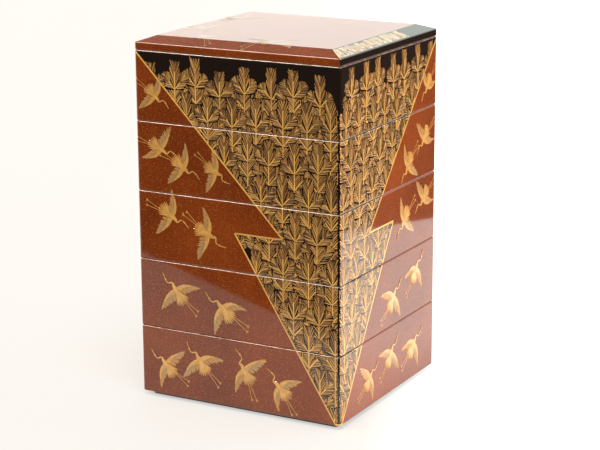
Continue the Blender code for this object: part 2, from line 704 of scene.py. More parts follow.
@dataclass
class Shell:
    """One lacquered shell, lofted round its section and dressed wall by wall.

    Args:
        node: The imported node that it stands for.
        outline: The plan of the box.
        knees: The section from the middle of the underside, out, up and back in to the middle.
        outer: Index of the first and the last knee that the outside passes.
    """

    node: str
    outline: Outline
    knees: list[Knee]
    outer: tuple[int, int]
    corner_steps: int = 6
    rounding_steps: int = 5
    margin: float = 0.45

    def rings(self) -> tuple[list[np.ndarray], list[int]]:
        """Points of each ring, and the knee that each ring belongs to."""
        rings = []
        owners = []
        for index in range(1, len(self.knees) - 1):
            before, knee, after = self.knees[index - 1 : index + 2]
            points = rounded_knee(before, knee, after, self.rounding_steps, self.margin)
            for inset, height, _ in points:
                ring = self.outline.ring(inset, height, knee.turn, self.corner_steps, self.margin)
                rings.append(ring)
                owners.append(index)
        return rings, owners

    def skin(self) -> Skin:
        """The outside of the shell, for drawings."""
        first, last = self.outer
        return Skin.over(self.outline, self.knees[first - 1 : last + 2])

    def loft(self) -> tuple[bmesh.types.BMesh, bmesh.types.BMLayerItem]:
        """Build the closed mesh.

        Returns:
            The mesh in millimetres, and the face layer that is 1 on the outside.
        """
        shape = bmesh.new()
        is_outer = shape.faces.layers.int.new("is_outer")
        rings, owners = self.rings()
        loops = [[shape.verts.new(point) for point in ring] for ring in rings]
        shape.faces.new(loops[0][::-1])
        shape.faces.new(loops[-1])
        count = len(loops[0])
        for index, (low, high) in enumerate(zip(loops, loops[1:])):
            outside = self.outer[0] <= owners[index] and owners[index + 1] <= self.outer[1]
            for corner in range(count):
                following = (corner + 1) % count
                wall = shape.faces.new((low[corner], low[following], high[following], high[corner]))
                wall[is_outer] = int(outside)
        return shape, is_outer

    def finish(
        self, shape: bmesh.types.BMesh, finishes: Sequence[bpy.types.Material]
    ) -> bpy.types.Object:
        """Turn the mesh into the piece that stands for the node.

        Args:
            shape: The mesh in millimetres.
            finishes: Its materials.

        Returns:
            The piece.
        """
        bmesh.ops.scale(shape, vec=(MM, MM, MM), verts=shape.verts)
        for face in shape.faces:
            face.smooth = True
        piece = piece_from(f"{self.node}_lacquer", shape, finishes)
        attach(piece, BODY)
        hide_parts(self.node)
        return piece


def piece_from(
    name: str, shape: bmesh.types.BMesh, finishes: Iterable[bpy.types.Material]
) -> bpy.types.Object:
    """Make an object of the scene from a bmesh.

    Args:
        name: The piece's name.
        shape: Its mesh, which is freed.
        finishes: Its materials, in the order of the faces' indices.

    Returns:
        The object, at the origin.
    """
    mesh = bpy.data.meshes.new(name)
    shape.to_mesh(mesh)
    shape.free()
    for finish in finishes:
        mesh.materials.append(finish)
    piece = bpy.data.objects.new(name, mesh)
    bpy.context.scene.collection.objects.link(piece)
    return piece


def cut_along(
    shape: bmesh.types.BMesh,
    faces: list[bmesh.types.BMFace],
    point: Sequence[float],
    normal: Sequence[float],
) -> None:
    """Cut some faces of a mesh along a plane and keep both sides."""
    edges = {edge for face in faces for edge in face.edges}
    verts = {vert for face in faces for vert in face.verts}
    bmesh.ops.bisect_plane(
        shape,
        geom=[*verts, *edges, *faces],
        dist=1e-5,
        plane_co=Vector(point),
        plane_no=Vector(normal),
    )


def side_of(normal: Vector) -> Side:
    """The wall that a horizontal direction faces best."""
    return max(Side, key=lambda side: float(np.dot(side.outward, (normal.x, normal.y))))


# Share of a rim's rounding, from the top, that takes the painted highlight on the front and left
# walls, and the worn gold on the first tier's other walls
RIM_SHARE = 0.42


@dataclass
class Tier(Shell):
    """A tier: brown outside the pine fields, black in them, in its hollow and on its foot."""

    fields: dict[Side, PineField] = field(default_factory=dict)
    has_worn_rim: bool = False

    def bands(self) -> list[tuple[float, float]]:
        """Heights between which a straight stroke stays on the lacquer: the wall, and each facet
        of the roundings at its rims."""
        knee = self.knees[self.outer[0]]
        rim = self.knees[self.outer[1]]
        low, high, edge = knee.height, rim.height, knee.rounding
        step = edge * 0.3
        bands = [(low + edge, high - edge)]
        for index in range(4):
            bands.append((low + edge - step * (index + 1), low + edge - step * index))
        for index in range(2):
            bands.append((high - edge + step * index, high - edge + step * (index + 1)))
        return bands

    def build(self, finishes: ShellFinishes) -> bpy.types.Object:
        """Loft the tier and dress it.

        Args:
            finishes: Its finishes.

        Returns:
            The finished piece.
        """
        shape, is_outer = self.loft()
        for side, pines in self.fields.items():
            origin = -side.along * pines.length / 2 + side.outward * self.outline.reach(side)
            for start, end in pines.border():
                faces = [
                    face
                    for face in shape.faces
                    if face[is_outer] and side_of(face.normal) is side
                ]
                run = end - start
                plan = origin + side.along * start[0]
                across = side.along * run[1]
                cut_along(shape, faces, (*plan, start[1]), (*across, -run[0]))
                shape.normal_update()
        rim = self.knees[self.outer[1]]
        for face in shape.faces:
            centre = face.calc_center_median()
            side = side_of(face.normal)
            pines = self.fields[side]
            across = float(np.dot(side.along, (centre.x, centre.y))) + pines.length / 2
            in_field = bool(pines.contains(np.array(across), np.array(centre.z)))
            face.material_index = int(not face[is_outer] or in_field)
            if not face[is_outer] or centre.z < rim.height - RIM_SHARE * rim.rounding:
                continue
            # The rims of the front and left walls, which face the key light, take a painted
            # highlight
            if side in (Side.FRONT, Side.LEFT):
                face.material_index = 2
            elif self.has_worn_rim:
                face.material_index = 3
        return self.finish(shape, finishes.in_order())


@dataclass
class Lid(Shell):
    """The lid: black on its right and back margins and underneath, and brown elsewhere."""

    panel_reach: float = 105.0

    def skin(self) -> Skin:
        """The outside of the lid, and on over its panel."""
        return super().skin().extended(self.panel_reach)

    def bands(self) -> list[tuple[float, float]]:
        """Heights between which a straight stroke stays on the lacquer: flats, and facets of the
        roundings."""
        rise = self.skin().rise
        picks = [
            rise[knee * ROUNDING_KNOTS + step]
            for knee in range(len(rise) // ROUNDING_KNOTS)
            for step in range(0, ROUNDING_KNOTS, 2)
        ]
        picks.append(rise[-1])
        return list(zip(picks, picks[1:]))

    def build(self, finishes: ShellFinishes) -> bpy.types.Object:
        """Loft the lid and dress it.

        Args:
            finishes: Its finishes.

        Returns:
            The finished piece.
        """
        shape, is_outer = self.loft()
        shape.normal_update()
        top = max(vert.co.z for vert in shape.verts)
        for face in shape.faces:
            centre = face.calc_center_median()
            is_panel = centre.z > top - 0.01
            is_black = not face[is_outer] or side_of(face.normal) in (Side.RIGHT, Side.BACK)
            face.material_index = int(is_black and not is_panel)
        return self.finish(shape, finishes.in_order())


# Strokes of gold, drawn flat and then laid on the lacquer

STRIP = 1000.0
STRIP_START = 400.0

# Shorter strokes than this are left out, in millimetres
SHORTEST_STROKE = 0.08


@dataclass(frozen=True)
class Strokes:
    """Straight strokes on the drawing sheet, where each wall has a strip of its own.

    Args:
        starts: Where each stroke starts, in millimetres.
        ends: Where it ends.
        sizes: Rows of its width and its height, as multiples of those of the press.
    """

    starts: np.ndarray
    ends: np.ndarray
    sizes: np.ndarray

    @classmethod
    def of(
        cls,
        pairs: Sequence[tuple[np.ndarray, np.ndarray]],
        sizes: Sequence[tuple[float, float]] | None = None,
    ) -> Strokes:
        """Gather pairs of points, with the size of each stroke if they differ."""
        flat = np.array(pairs, dtype=float).reshape(-1, 2, 2)
        given = np.ones((len(flat), 2)) if sizes is None else np.array(sizes, dtype=float)
        return cls(flat[:, 0], flat[:, 1], given.reshape(-1, 2))

    @classmethod
    def together(cls, groups: Sequence[Strokes]) -> Strokes:
        """Join groups of strokes."""
        parts = [(group.starts, group.ends, group.sizes) for group in groups]
        return cls(*(np.concatenate(columns) for columns in zip(*parts)))

    def between(self, low: float, high: float) -> Strokes:
        """Keep what lies between two heights.

        Args:
            low: The lower height.
            high: The higher height.

        Returns:
            The strokes, cut where they cross either height.
        """
        rise = self.ends[:, 1] - self.starts[:, 1]
        safe = np.where(np.abs(rise) < 1e-9, 1e-9, rise)
        at_low = (low - self.starts[:, 1]) / safe
        at_high = (high - self.starts[:, 1]) / safe
        enter = np.clip(np.minimum(at_low, at_high), 0.0, 1.0)
        leave = np.clip(np.maximum(at_low, at_high), 0.0, 1.0)
        run = self.ends - self.starts
        starts = self.starts + run * enter[:, None]
        ends = self.starts + run * leave[:, None]
        keep = (leave - enter) * np.linalg.norm(run, axis=1) > SHORTEST_STROKE
        return Strokes(starts[keep], ends[keep], self.sizes[keep])

    def bendable(self, length: float, corner: float = 3.0, limit: float = 0.8) -> Strokes:
        """Cut up what reaches a rounded corner, so that it can bend round it.

        Args:
            length: The wall's length.
            corner: How far a corner's rounding reaches.
            limit: The longest piece there.

        Returns:
            The strokes, with those near a corner in short pieces.
        """
        least = np.minimum(self.starts[:, 0], self.ends[:, 0])
        most = np.maximum(self.starts[:, 0], self.ends[:, 0])
        near = (least < corner) | (most > length - corner)
        groups = [Strokes(self.starts[~near], self.ends[~near], self.sizes[~near])]
        for start, end, size in zip(self.starts[near], self.ends[near], self.sizes[near]):
            count = max(1, math.ceil(float(np.linalg.norm(end - start)) / limit))
            points = start + (end - start) * np.linspace(0.0, 1.0, count + 1)[:, None]
            groups.append(Strokes(points[:-1], points[1:], np.tile(size, (count, 1))))
        return Strokes.together(groups)

    def on(self, side: Side) -> Strokes:
        """Move the strokes to a wall's strip of the drawing sheet."""
        shift = np.array([STRIP_START + STRIP * side.value, 0.0])
        return Strokes(self.starts + shift, self.ends + shift, self.sizes)


GOLD_INPUTS = ("First Gold", "Second Gold", "Third Gold")
GOLD_SEED = 7


class StrokeShape(Enum):
    """The form of a single stroke: a low ridge, a bar for a bold line, or a pointed leaf."""

    RIDGE = "ridge"
    BAR = "bar"
    LEAF = "leaf"


@dataclass(frozen=True)
class StrokeTree:
    """Geometry Nodes that put one stroke on each point of a mesh.

    The points carry the attributes heading, in radians, reach, the stroke's length, and breadth
    and thickness, which multiply the width and the height.

    Args:
        shape: The form of a stroke.
    """

    shape: StrokeShape

    def build(self) -> bpy.types.GeometryNodeTree:
        """Build the tree.

        Returns:
            A tree with the inputs Width, Height and three golds.
        """
        tree = bpy.data.node_groups.new(f"gold_{self.shape.value}s", "GeometryNodeTree")
        face = tree.interface
        face.new_socket("Points", in_out="INPUT", socket_type="NodeSocketGeometry")
        face.new_socket("Width", in_out="INPUT", socket_type="NodeSocketFloat")
        face.new_socket("Height", in_out="INPUT", socket_type="NodeSocketFloat")
        for finish in GOLD_INPUTS:
            face.new_socket(finish, in_out="INPUT", socket_type="NodeSocketMaterial")
        face.new_socket("Strokes", in_out="OUTPUT", socket_type="NodeSocketGeometry")
        sketch = NodeSketch(tree)
        given = sketch.add("NodeGroupInput").outputs
        pick = sketch.add("FunctionNodeRandomValue", {"data_type": "FLOAT"})
        pick.inputs[RANDOM_MOST].default_value = float(len(GOLD_INPUTS))
        pick.inputs["Seed"].default_value = GOLD_SEED
        marked = sketch.add(
            "GeometryNodeStoreNamedAttribute",
            {"data_type": "FLOAT", "domain": "POINT"},
            Geometry=given["Points"],
            Name="gold",
        )
        value = next(
            socket for socket in marked.inputs if socket.name == "Value" and socket.enabled
        )
        sketch.feed(value, pick.outputs[RANDOM_RESULT])
        turn = sketch.add("ShaderNodeCombineXYZ", Z=self.attribute(sketch, "heading"))
        facing = sketch.add("FunctionNodeEulerToRotation", Euler=turn.outputs["Vector"])
        size = sketch.add(
            "ShaderNodeCombineXYZ",
            X=self.attribute(sketch, "reach"),
            Y=self.product(sketch, self.attribute(sketch, "breadth"), given["Width"]),
            Z=self.product(sketch, self.attribute(sketch, "thickness"), given["Height"]),
        )
        placed = sketch.add(
            "GeometryNodeInstanceOnPoints",
            Points=marked.outputs["Geometry"],
            Instance=self.single(sketch),
            Rotation=facing.outputs["Rotation"],
            Scale=size.outputs["Vector"],
        )
        real = sketch.add("GeometryNodeRealizeInstances", Geometry=placed.outputs["Instances"])
        shown = real.outputs["Geometry"]
        for index, finish in enumerate(GOLD_INPUTS):
            gilded = sketch.add("GeometryNodeSetMaterial", Geometry=shown, Material=given[finish])
            if index:
                chosen = sketch.add("ShaderNodeMath", {"operation": "GREATER_THAN"})
                sketch.feed(chosen.inputs[0], self.attribute(sketch, "gold"))
                sketch.feed(chosen.inputs[1], float(index))
                sketch.feed(gilded.inputs["Selection"], chosen.outputs["Value"])
            shown = gilded.outputs["Geometry"]
        sketch.add("NodeGroupOutput", Strokes=shown)
        return tree

    def product(
        self, sketch: NodeSketch, first: bpy.types.NodeSocket, second: bpy.types.NodeSocket
    ) -> bpy.types.NodeSocket:
        """Add a node that multiplies two numbers."""
        node = sketch.add("ShaderNodeMath", {"operation": "MULTIPLY"})
        sketch.feed(node.inputs[0], first)
        sketch.feed(node.inputs[1], second)
        return node.outputs["Value"]

    def attribute(self, sketch: NodeSketch, label: str) -> bpy.types.NodeSocket:
        """Add a node that reads a number from each point."""
        node = sketch.add("GeometryNodeInputNamedAttribute", {"data_type": "FLOAT"}, Name=label)
        return node.outputs["Attribute"]

    def single(self, sketch: NodeSketch) -> bpy.types.NodeSocket:
        """Add the nodes of one stroke of unit size.

        Args:
            sketch: The tree's sketch.

        Returns:
            The output that holds it.
        """
        if self.shape is StrokeShape.BAR:
            return sketch.add("GeometryNodeMeshCube").outputs["Mesh"]
        is_leaf = self.shape is StrokeShape.LEAF
        cone = sketch.add("GeometryNodeMeshCone", {"fill_type": "NGON"})
        cone.inputs["Vertices"].default_value = 10 if is_leaf else 4
        cone.inputs["Radius Top"].default_value = 0.45 if is_leaf else 0.45 * math.sqrt(0.5)
        cone.inputs["Radius Bottom"].default_value = 0.5 if is_leaf else math.sqrt(0.5)
        cone.inputs["Depth"].default_value = 1.0
        if is_leaf:
            return cone.outputs["Mesh"]
        square = sketch.add("GeometryNodeTransform", Geometry=cone.outputs["Mesh"])
        square.inputs["Rotation"].default_value = (0.0, 0.0, math.pi / 4)
        return square.outputs["Geometry"]


class StrokePress:
    """Turns strokes into gold on a shell: Geometry Nodes shape them, and the skin takes them."""

    def __init__(self) -> None:
        """Build one tree for each form of stroke."""
        self.trees = {shape: StrokeTree(shape).build() for shape in StrokeShape}

    def press(
        self,
        name: str,
        strokes: Strokes,
        skin: Skin,
        shape: StrokeShape,
        size: tuple[float, float],
        finishes: Sequence[bpy.types.Material],
    ) -> bpy.types.Object:
        """Make one piece of all the strokes of a shell.

        Args:
            name: The piece's name.
            strokes: The strokes, on the drawing sheet.
            skin: The shell's outside.
            shape: The form of a stroke.
            size: Width and height of a stroke in millimetres.
            finishes: The golds, one for each third of the strokes, taken at random.

        Returns:
            The finished piece.
        """
        run = strokes.ends - strokes.starts
        middle = (strokes.starts + strokes.ends) / 2
        mesh = bpy.data.meshes.new(f"{name}_points")
        mesh.vertices.add(len(middle))
        flat = np.column_stack([middle, np.zeros(len(middle))])
        mesh.vertices.foreach_set("co", flat.ravel())
        traits = {
            "heading": np.arctan2(run[:, 1], run[:, 0]),
            "reach": np.linalg.norm(run, axis=1),
            "breadth": strokes.sizes[:, 0],
            "thickness": strokes.sizes[:, 1],
        }
        for label, values in traits.items():
            mesh.attributes.new(label, "FLOAT", "POINT").data.foreach_set("value", values)
        sheet = bpy.data.objects.new(f"{name}_points", mesh)
        bpy.context.scene.collection.objects.link(sheet)
        modifier = sheet.modifiers.new("strokes", "NODES")
        modifier.node_group = self.trees[shape]
        sockets = {
            item.name: item.identifier
            for item in modifier.node_group.interface.items_tree
            if item.in_out == "INPUT"
        }
        modifier[sockets["Width"]] = size[0]
        modifier[sockets["Height"]] = size[1]
        for label, finish in zip(GOLD_INPUTS, finishes):
            modifier[sockets[label]] = finish
        graph = bpy.context.evaluated_depsgraph_get()
        pressed = bpy.data.meshes.new_from_object(
            sheet.evaluated_get(graph), preserve_all_data_layers=False, depsgraph=graph
        )
        bpy.data.objects.remove(sheet, do_unlink=True)
        bpy.data.meshes.remove(mesh)
        for label in [*traits, "gold"]:
            spent = pressed.attributes.get(label)
            if spent:
                pressed.attributes.remove(spent)
        lay_sheet(pressed, skin)
        pressed.name = name
        return gold_piece(name, pressed)


def lay_sheet(mesh: bpy.types.Mesh, skin: Skin) -> None:
    """Lay a mesh that was made on the drawing sheet over a shell.

    Args:
        mesh: The mesh, in millimetres on the sheet; it is changed.
        skin: The shell's outside.
    """
    points = np.empty(len(mesh.vertices) * 3)
    mesh.vertices.foreach_get("co", points)
    points = points.reshape(-1, 3)
    strip = np.floor(points[:, 0] / STRIP).astype(int)
    laid = np.empty_like(points)
    for side in Side:
        chosen = strip == side.value
        local = points[chosen] - np.array([STRIP_START + STRIP * side.value, 0.0, 0.0])
        laid[chosen] = skin.lay(side, local)
    mesh.vertices.foreach_set("co", laid.ravel())
    mesh.update()


def gold_piece(name: str, mesh: bpy.types.Mesh) -> bpy.types.Object:
    """Show a mesh of gold as a piece that rides on the box."""
    piece = bpy.data.objects.new(name, mesh)
    bpy.context.scene.collection.objects.link(piece)
    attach(piece, BODY)
    return piece


# The pines, in millimetres and degrees

LEADER_LENGTH = 27.0
LEADER_BARE = 10.0
SHOOT_ANGLE = 41.0
SHOOT_LINES = (10.0, 13.5, 15.0, 15.5)
SHOOT_REACHES = (19.5, 24.0, 25.5, 26.0)
SHOOT_DROP = 1.5
STEM_LENGTH = 17.5
STEM_OVERRUN = 6.0
HIDING_REACH = 34.0
LAYER_STEPS = 100


@dataclass(frozen=True)
class Shoot:
    """One shoot of a pine: a gold line with needles on both sides, rounded at its end.

    Args:
        root: Where it leaves the stem.
        heading: Its direction.
        line: How long its gold line is.
        reach: How far its needles go.
        radius: Half of its width.
        layer: Its place in the drawing; a lower layer hides the higher ones.
        line_layer: The same for its gold line.
        is_leader: True for the upright shoot at the top, which ends square.
    """

    root: np.ndarray
    heading: np.ndarray
    line: float
    reach: float
    radius: float
    layer: float
    line_layer: float
    is_leader: bool = False

    @property
    def middle(self) -> np.ndarray:
        """The end of the middle run of its rounded outline."""
        return self.root + self.heading * (self.reach - self.radius)

    def clearance(self, points: np.ndarray) -> np.ndarray:
        """How far points are outside its outline.

        Args:
            points: Rows of drawn points.

        Returns:
            Distances, negative inside.
        """
        run = self.middle - self.root
        offset = points - self.root
        ahead = offset @ self.heading
        beside = np.abs(offset[:, 0] * self.heading[1] - offset[:, 1] * self.heading[0])
        if self.is_leader:
            start = 0.92 * beside - 0.39 * ahead - 0.6
            return np.maximum(start, np.maximum(beside - self.radius, ahead - self.reach))
        start = (beside - ahead) * 0.7
        share = np.clip(ahead / np.linalg.norm(run), 0.0, 1.0)
        gap = np.linalg.norm(offset - share[:, None] * run, axis=1)
        return np.maximum(gap - self.radius, start)


@dataclass
class PineGrove:
    """Young pines in staggered rows, each in front of the row above it.

    Args:
        pines: The field that they fill.
        seed: Seed of its small irregularities.
        column: Distance between pines in a row.
        row: Distance between rows.
        first_depth: How deep the tips of the first row lie.
        corner_gap: How far the needles stay from the pine corner.
        needle_gap: Distance between needles, across them.
        needle_angle: How far a side shoot's needles spread, in degrees.
        leader_angle: How far a leader's needles spread, in degrees.
        leader_radius: Half of a leader's width.
        shoot_radius: Half of a side shoot's width.
        outline: How much black shows round a shoot in front of others.
        sample_count: Points tested along each needle.
        row_scatter: How far a pine's tip is off its row.
        place_scatter: How far a pine is off its column, as a share of it.
        row_starts: Where even and odd rows start, as shares of a column.
        overhang: How far past the border a pine can stand.
        border_margin: How far inside the border its gold stays.
    """

    pines: PineField
    seed: int
    column: float = 27.0
    row: float = 37.0
    first_depth: tuple[float, float] = (3.0, 15.0)
    corner_gap: float = 2.3
    needle_gap: float = 1.05
    outline: float = 0.45
    needle_angle: float = 40.0
    leader_angle: float = 23.0
    leader_radius: float = 5.4
    shoot_radius: float = 6.6
    sample_count: int = 13
    row_scatter: float = 3.5
    place_scatter: float = 0.12
    row_starts: tuple[float, float] = (0.8, 0.3)
    overhang: float = 14.0
    border_margin: float = 0.95

    def __post_init__(self) -> None:
        """Grow the pines once."""
        self.random = random.Random(self.seed)
        self.shoots = self.plant()

    def jitter(self, value: float, share: float) -> float:
        """A value changed by up to a share of itself."""
        return value * (1 + self.random.uniform(-share, share))

    def plant(self) -> list[Shoot]:
        """Stand the pines in their rows.

        Returns:
            All their shoots.
        """
        shoots: list[Shoot] = []
        rows = int(self.pines.bottom_depth / self.row) + 2
        for row in range(rows):
            low, high = self.first_depth if row == 0 else (-self.row_scatter, self.row_scatter)
            start = self.column * self.row_starts[row % 2]
            count = int((self.pines.length + self.column) / self.column) + 1
            for place in range(count):
                shift = self.random.uniform(-self.place_scatter, self.place_scatter)
                distance = start + (place + shift) * self.column
                depth = row * self.row + self.random.uniform(low, high)
                tip = self.pines.drawn(distance, depth)
                edge = float(self.pines.edge(tip[1]))
                if distance < edge + self.overhang:
                    shoots.extend(self.grow(tip, float(-depth)))
        return shoots

    def grow(self, tip: np.ndarray, layer: float) -> list[Shoot]:
        """Grow one pine down from its tip.

        Args:
            tip: The top of its leader.
            layer: Its layer in the drawing.

        Returns:
            Its shoots: the leader, then pairs to the left and right with stem between them.
        """
        up = np.array([0.0, 1.0])
        step = iter(range(LAYER_STEPS))
        first = self.jitter(LEADER_LENGTH, 0.1)
        leader = Shoot(
            tip - up * first,
            up,
            first - LEADER_BARE,
            first,
            self.leader_radius,
            layer + next(step) / LAYER_STEPS,
            layer,
            True,
        )
        shoots = [leader]
        depth = first
        for line, reach in zip(SHOOT_LINES, SHOOT_REACHES):
            node = tip - up * depth
            for hand in (-1, 1):
                angle = math.radians(self.jitter(SHOOT_ANGLE, 0.12)) * hand
                heading = np.array([math.sin(angle), math.cos(angle)])
                root = node - up * self.random.uniform(0.0, SHOOT_DROP)
                grown = Shoot(
                    root,
                    heading,
                    self.jitter(line, 0.12),
                    self.jitter(reach, 0.08),
                    self.shoot_radius,
                    layer + next(step) / LAYER_STEPS,
                    layer,
                )
                shoots.append(grown)
            gap = self.jitter(STEM_LENGTH, 0.12)
            stem = Shoot(
                node - up * gap,
                up,
                gap,
                gap + STEM_OVERRUN,
                self.shoot_radius,
                layer + next(step) / LAYER_STEPS,
                layer,
            )
            shoots.append(stem)
            depth += gap
        return shoots

    def in_front(self, shoot: Shoot, layer: float) -> list[Shoot]:
        """The shoots that can hide something of another."""
        centre = (shoot.root + shoot.middle) / 2
        near = []
        for other in self.shoots:
            gap = np.abs((other.root + other.middle) / 2 - centre)
            if other.layer < layer and max(gap) < HIDING_REACH:
                near.append(other)
        return near

    def shown(self, points: np.ndarray, hiding: list[Shoot], margin: float) -> np.ndarray:
        """Tell which drawn points show.

        Args:
            points: Rows of drawn points.
            hiding: The shoots in front of them.
            margin: How far inside the border they must be.

        Returns:
            True for each point that shows.
        """
        seen = self.pines.contains(points[:, 0], points[:, 1], margin)
        seen &= self.pines.distance(points[:, 0]) > self.corner_gap
        for shoot in hiding:
            seen &= shoot.clearance(points) > self.outline
        return seen

    def visible_strokes(
        self, starts: np.ndarray, ends: np.ndarray, hiding: list[Shoot], samples: int
    ) -> list[tuple[np.ndarray, np.ndarray]]:
        """Cut strokes to the longest run of each that shows.

        Args:
            starts: Where they start.
            ends: Where they end.
            hiding: The shoots in front of them.
            samples: Points tested on each.

        Returns:
            Pairs of points.
        """
        shares = np.linspace(0.0, 1.0, samples)
        points = starts[:, None, :] + (ends - starts)[:, None, :] * shares[None, :, None]
        flags = self.shown(points.reshape(-1, 2), hiding, self.border_margin)
        seen = flags.reshape(len(starts), samples)
        pairs = []
        for start, end, row in zip(starts, ends, seen):
            first, last = longest_run(row)
            if last > first:
                run = end - start
                pairs.append((start + run * shares[first], start + run * shares[last]))
        return pairs

    def needles(self) -> Strokes:
        """Draw the needles of every shoot.

        Returns:
            Strokes from each shoot's middle outwards.
        """
        pairs = []
        for shoot in self.shoots:
            widest = self.leader_angle if shoot.is_leader else self.needle_angle
            pitch = self.needle_gap / math.sin(math.radians(widest))
            count = int((shoot.reach - 1.5) / pitch)
            roots, tips = [], []
            for index in range(count):
                along = (index + 0.4) * pitch
                fan = np.clip((along - shoot.line) / (shoot.reach - 1.5 - shoot.line + 1e-6), 0, 1)
                for hand in (-1, 1):
                    angle = math.radians(widest) * (1 - 0.8 * float(fan)) * hand
                    angle = self.jitter(angle, 0.1)
                    heading = np.array(
                        [
                            shoot.heading[0] * math.cos(angle) - shoot.heading[1] * math.sin(angle),
                            shoot.heading[0] * math.sin(angle) + shoot.heading[1] * math.cos(angle),
                        ]
                    )
                    root = shoot.root + shoot.heading * (along + 0.3 * hand)
                    reaches = np.arange(0.5, 17.0, 0.25)
                    outside = shoot.clearance(root + reaches[:, None] * heading) > 0
                    length = reaches[int(np.argmax(outside))] if outside.any() else 12.0
                    roots.append(root)
                    tips.append(root + heading * self.jitter(float(length), 0.09))
            hiding = self.in_front(shoot, shoot.layer)
            pairs.extend(
                self.visible_strokes(np.array(roots), np.array(tips), hiding, self.sample_count)
            )
        return Strokes.of(pairs)

    def lines(self) -> Strokes:
        """Draw the gold line of every shoot.

        Returns:
            The stretches of the lines that show.
        """
        pairs = []
        for shoot in self.shoots:
            hiding = self.in_front(shoot, shoot.line_layer)
            end = shoot.root + shoot.heading * shoot.line
            steps = max(3, int(shoot.line / 0.8))
            pairs.extend(self.visible_strokes(shoot.root[None, :], end[None, :], hiding, steps))
        return Strokes.of(pairs)


def longest_run(flags: np.ndarray) -> tuple[int, int]:
    """The first and last index of the longest run of true values, or the same index for none."""
    best = (0, 0)
    start = None
    for index, flag in enumerate([*flags, False]):
        if flag and start is None:
            start = index
        if not flag and start is not None:
            if index - 1 - start > best[1] - best[0]:
                best = (start, index - 1)
            start = None
    return best


# The cranes


class Flight(Enum):
    """How far back a crane sweeps its left and its right wing, in degrees from straight out."""

    SPREAD = (16.0, 28.0)
    RISING = (2.0, 40.0)
    BANKING = (38.0, 8.0)
    GLIDING = (30.0, 50.0)


@dataclass
class Brush:
    """Collects leaf-shaped strokes of one gold, each a little higher than the one before."""

    base: float
    step: float = 0.0022
    pairs: list[tuple[np.ndarray, np.ndarray]] = field(default_factory=list)
    sizes: list[tuple[float, float]] = field(default_factory=list)

    def leaf(self, root: np.ndarray, angle: float, length: float, width: float) -> None:
        """Draw one leaf.

        Args:
            root: Where it starts.
            angle: Its direction in degrees.
            length: Its length.
            width: Its greatest width.
        """
        self.pairs.append((root, root + length * toward(angle)))
        self.sizes.append((width / 0.95, self.base + self.step * len(self.pairs)))

    def trail(self, points: np.ndarray, widths: tuple[float, float], overlap: float = 1.6) -> None:
        """Draw a curved line as a row of overlapping leaves.

        Args:
            points: Rows of points along the line.
            widths: Its width at its start and its end.
            overlap: How far each leaf reaches past its own stretch.
        """
        count = len(points) - 1
        for index in range(count):
            run = points[index + 1] - points[index]
            length = float(np.linalg.norm(run))
            heading = run / length
            share = index / max(1, count - 1)
            width = widths[0] + (widths[1] - widths[0]) * share
            root = points[index] - heading * length * (overlap - 1) / 2
            angle = math.degrees(math.atan2(heading[1], heading[0]))
            self.leaf(root, angle, length * overlap, width)


def toward(angle: float) -> np.ndarray:
    """The unit step in a direction given in degrees."""
    turn = math.radians(angle)
    return np.array([math.cos(turn), math.sin(turn)])


def bend(points: Sequence[Sequence[float]], count: int) -> np.ndarray:
    """Points along a Bezier curve.

    Args:
        points: Its control points, three or four.
        count: How many points to give.

    Returns:
        Rows of points.
    """
    controls = np.array(points, dtype=float)
    degree = len(controls) - 1
    shares = np.linspace(0.0, 1.0, count)[:, None]
    curve = np.zeros((count, 2))
    for index, control in enumerate(controls):
        weight = math.comb(degree, index) * shares**index * (1 - shares) ** (degree - index)
        curve += weight * control
    return curve


